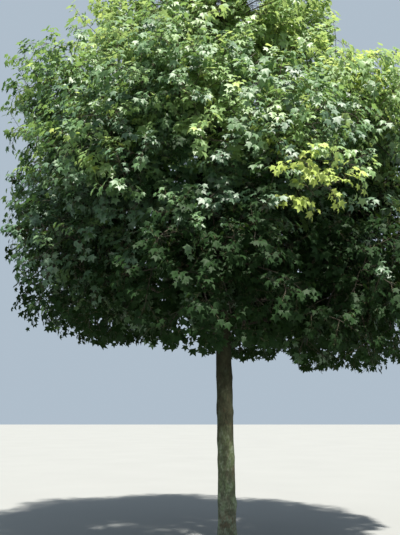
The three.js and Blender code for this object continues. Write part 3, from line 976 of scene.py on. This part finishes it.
def leaf_mesh(which):
    """The leaf's points carried into each leaf's own frame: across, along its midrib and up."""
    size = blade_size[which][:, None, None]
    wide = (1 + 0.12 * swing(which, 50))[:, None, None]
    curl = (1 + 0.7 * swing(which, 51))[:, None, None]
    x, y, z = [LEAF_POINTS[:, i][None, :, None] for i in range(3)]
    sideways = wide * x * blade_across[which][:, None]
    forwards = y * hang[which][:, None]
    upwards = curl * z * blade_normal[which][:, None]
    points = blade_root[which][:, None] + size * (sideways + forwards + upwards)
    starts = np.arange(len(which)) * len(LEAF_POINTS)
    triangles = (starts[:, None, None] + LEAF_TRIANGLES).reshape(-1, 3)
    return points.reshape(-1, 3), triangles, np.tile(LEAF_UV, (len(which), 1))


# %% [markdown]
# ## Leaf colours
#
# The crown is deep green below and turns yellow-green towards the top and the right, where
# it gets more light. The tints also carry painted light: the deep tint below is darkened
# with painted shade, the full tint is bluer with a painted sheen of the sky, and the lime
# tint at the top is lightened with painted sunlight shining through. A few sprays have
# begun to turn yellow. Such colours have their place, so they aren't painted by a pattern:
# the leaves of each branch twig are dealt one of five tints. Those of a side twig now and
# then take the next tint or the one before.

# %% Dealing out the tints
TINTS = {  # each with a material slot's name
    "deep": "leaf_deep_green",
    "full": "leaf_deep_green",
    "fresh": "leaf_fresh_green",
    "lime": "leaf_yellow_green",
    "turning": "leaf_yellow_green",
}
TURNING = [  # places where branch twigs are lime, how far around, and the share that has turned
    ((0.79, -2.16, 3.50), 0.26, 1.0),
    ((1.50, -1.95, 3.60), 0.32, 0.0),
    ((-0.25, -2.15, 4.25), 0.42, 0.0),
    ((0.76, -2.42, 3.72), 0.30, 0.8),
    ((0.60, -2.15, 4.11), 0.28, 0.0),
    ((-1.30, -2.00, 4.05), 0.22, 0.0),
    ((-0.30, -1.90, 4.75), 0.22, 0.1),
    ((1.60, -1.45, 5.30), 0.40, 0.3),
    ((0.70, -0.60, 6.90), 0.40, 0.3),
    ((-0.80, 1.60, 5.60), 0.45, 0.3),
    ((2.10, 1.30, 4.90), 0.40, 0.3),
]
RIPENESS_AND_LIGHT = [  # the height at the trunk where the next tint begins, and its rise for a metre right
    (3.40, 0.16),
    (4.25, -0.08),
    (5.20, -0.28),
]
RIPER, RIPER_DEEP, GREENER = 0.2, 0.05, 0.2  # shares of side twigs that change their tint
YELLOWED = 0.04  # share of single lime leaves that have turned

centre = branch_curve[:, 2]
# Higher twigs take lighter tints: partly the leaves' own colour, partly painted light, with painted
# shade in the deep tint low down.
ripeness_and_light = centre[:, 2] + 0.2 * swing(limb, 70) + 0.35 * swing(np.arange(len(limb)), 71)
branch_tint = sum((ripeness_and_light > height + rise * centre[:, 0]).astype(int) for height, rise in RIPENESS_AND_LIGHT)
for place, size, turned in TURNING:
    near = np.linalg.norm(centre - place, axis=1) < size
    branch_tint = np.where(near, 3 + (chance(np.arange(len(limb)), 73) < turned), branch_tint)
leaf_tint = branch_tint[branch]
riper = chance(twig, 71) < np.where(leaf_tint == 0, RIPER_DEEP, RIPER)
greener = (chance(twig, 72) < GREENER) & (leaf_tint > 0)
leaf_tint = leaf_tint + (leaf_tint < 3) * (riper * 1 - greener)
leaf_tint = np.where((leaf_tint == 3) & (chance(leaf, 74) < YELLOWED), 4, leaf_tint)
for i, tint in enumerate(TINTS):
    print(tint, int((fits & (leaf_tint == i)).sum()), "leaves")

# %% [markdown]
# A leaf has a waxy top that mirrors the sky, and pale veins that run from its foot to each
# lobe. The veins follow the leaf's own UV map. The tone changes a little over the crown. A
# part of the light passes through the blade and comes out yellower on the other side.

# %% The leaves' finish
HALF_VEIN_ANGLE = 0.40  # half the angle between two veins, in radians


def leaf_finish(name, dark, light, vein, passing, rough, shine):
    """How far a point is off a vein = its angle from the vein at the leaf's foot * its distance
    from the foot."""
    finish = Finish(name)
    map_place = finish.add("ShaderNodeUVMap", {"uv_map": "UVMap"})
    u = finish.add("ShaderNodeSeparateXYZ", None, {0: map_place}, output="X")
    v = finish.add("ShaderNodeSeparateXYZ", None, {0: map_place}, output="Y")
    x, y = (u - 0.5) * 1.4, v * 1.3 - 0.15
    angle = finish.math("ARCTAN2", x, y + 0.02)
    off_angle = finish.math("PINGPONG", angle, HALF_VEIN_ANGLE)
    off_vein = off_angle * finish.math("SQRT", x * x + y * y)
    veins = 1 - finish.ramp(off_vein, 0.004, 0.035)
    place = finish.place()
    cloud = finish.speckle(place, 5.0, 2.0)
    mottle = finish.speckle(place, 38.0, 2.0)
    tone = finish.blend(dark, light, finish.ramp(cloud * 0.5 + mottle * 0.5, 0.36, 0.64))
    tone = finish.blend(tone, vein, veins * 0.55)
    sockets = {"Base_Color": tone, "Roughness": rough + 0.16 * mottle, "Specular_IOR_Level": shine}
    relief = finish.bump(off_vein * -1.0 + mottle * 0.02, 0.02, 0.35)
    return finish.surface(passing, Normal=relief, **sockets)


# %% The five looks
LEAF_LOOKS = {
    # deep: the lower crown's tint, darkened with painted shade
    "deep": {
        "rough": 0.50, "dark": (0.009, 0.025, 0.007, 1), "light": (0.014, 0.036, 0.010, 1),
        "vein": (0.024, 0.052, 0.016, 1), "passing": ((0.10, 0.20, 0.02, 1), 0.05), "shine": 0.12,
    },
    # full: its own green, made bluer with a painted sheen of the sky
    "full": {
        "rough": 0.47, "dark": (0.030, 0.083, 0.036, 1), "light": (0.056, 0.126, 0.058, 1),
        "vein": (0.11, 0.18, 0.10, 1), "passing": ((0.18, 0.36, 0.06, 1), 0.15), "shine": 1.0,
    },
    "fresh": {
        "rough": 0.47, "dark": (0.058, 0.136, 0.050, 1), "light": (0.096, 0.188, 0.074, 1),
        "vein": (0.16, 0.24, 0.11, 1), "passing": ((0.40, 0.62, 0.16, 1), 0.25), "shine": 1.0,
    },
    # lime: its own yellow-green, lightened with painted sunlight shining through
    "lime": {
        "rough": 0.42, "dark": (0.118, 0.222, 0.070, 1), "light": (0.180, 0.288, 0.100, 1),
        "vein": (0.22, 0.30, 0.12, 1), "passing": ((0.57, 0.75, 0.24, 1), 0.30), "shine": 0.9,
    },
    "turning": {
        "rough": 0.42, "dark": (0.300, 0.410, 0.080, 1), "light": (0.430, 0.520, 0.125, 1),
        "vein": (0.44, 0.52, 0.20, 1), "passing": ((0.78, 0.90, 0.28, 1), 0.34), "shine": 0.5,
    },
}
leaf_finishes = {tint: leaf_finish(f"leaf_{tint}", **LEAF_LOOKS[tint]) for tint in TINTS}
print(len(leaf_finishes), "leaf finishes")

# %% The leaves' meshes
MOST_TRIANGLES = 190000


def parts_of(name, chosen, triangles_each):
    """The chosen leaves in as few parts as keep each mesh under the most triangles. Each part
    comes with its name and the foliage nodes it takes the place of."""
    count = int(np.ceil(len(chosen) * triangles_each / MOST_TRIANGLES))
    for number, part in enumerate(np.array_split(chosen, count)):
        part_name = f"{name}_{number + 1}" if count > 1 else name
        yield part_name, part, [FOLIAGE[n] for n in np.unique(owner[part])]


for i, tint in enumerate(TINTS):
    chosen = np.flatnonzero(fits & (leaf_tint == i))
    for name, part, held in parts_of(f"leaves_{tint}", chosen, len(LEAF_TRIANGLES)):
        points, triangles, uv = leaf_mesh(part)
        piece(name, points, triangles, leaf_finishes[tint], held, uv=uv)

# %% [markdown]
# Each stalk is a slim three-sided spike from the twig to the blade. Stalks are olive to
# brown, and in the lit clumps they show as fine lines.

# %% The stalks' mesh
STALK_RADIUS = 0.0018
STALK_FACES = np.array([[0, 1, 3], [1, 2, 3], [2, 0, 3]])


def stalk_mesh(which):
    """Slim pyramids: three corners round the stalk's foot, in the twig, and the tip at the blade."""
    run = blade_root[which] - root[which]
    level = unit(np.cross(run, (0.3, 0.2, 1.0)))
    ring = all_round(level, unit(np.cross(run, level)), 3)
    points = np.concatenate([root[which][:, None] + STALK_RADIUS * ring, blade_root[which][:, None]], 1)
    triangles = (np.arange(len(which))[:, None, None] * 4 + STALK_FACES).reshape(-1, 3)
    return points.reshape(-1, 3), triangles


stalk_finish = twig_finish("stalk", (0.09, 0.10, 0.04, 1), (0.14, 0.11, 0.055, 1))
for name, part, held in parts_of("stalks", np.flatnonzero(fits), len(STALK_FACES)):
    points, triangles = stalk_mesh(part)
    piece(name, points, triangles, stalk_finish, held)

# %% [markdown]
# ## Size
#
# The dressed tree may stand a little proud of the imported one, by three hundredths of a
# side and a centimetre. The imported tree's box is printed.

# %% Sizes, and the end
print("cad", np.round(cad_box, 3).tolist())
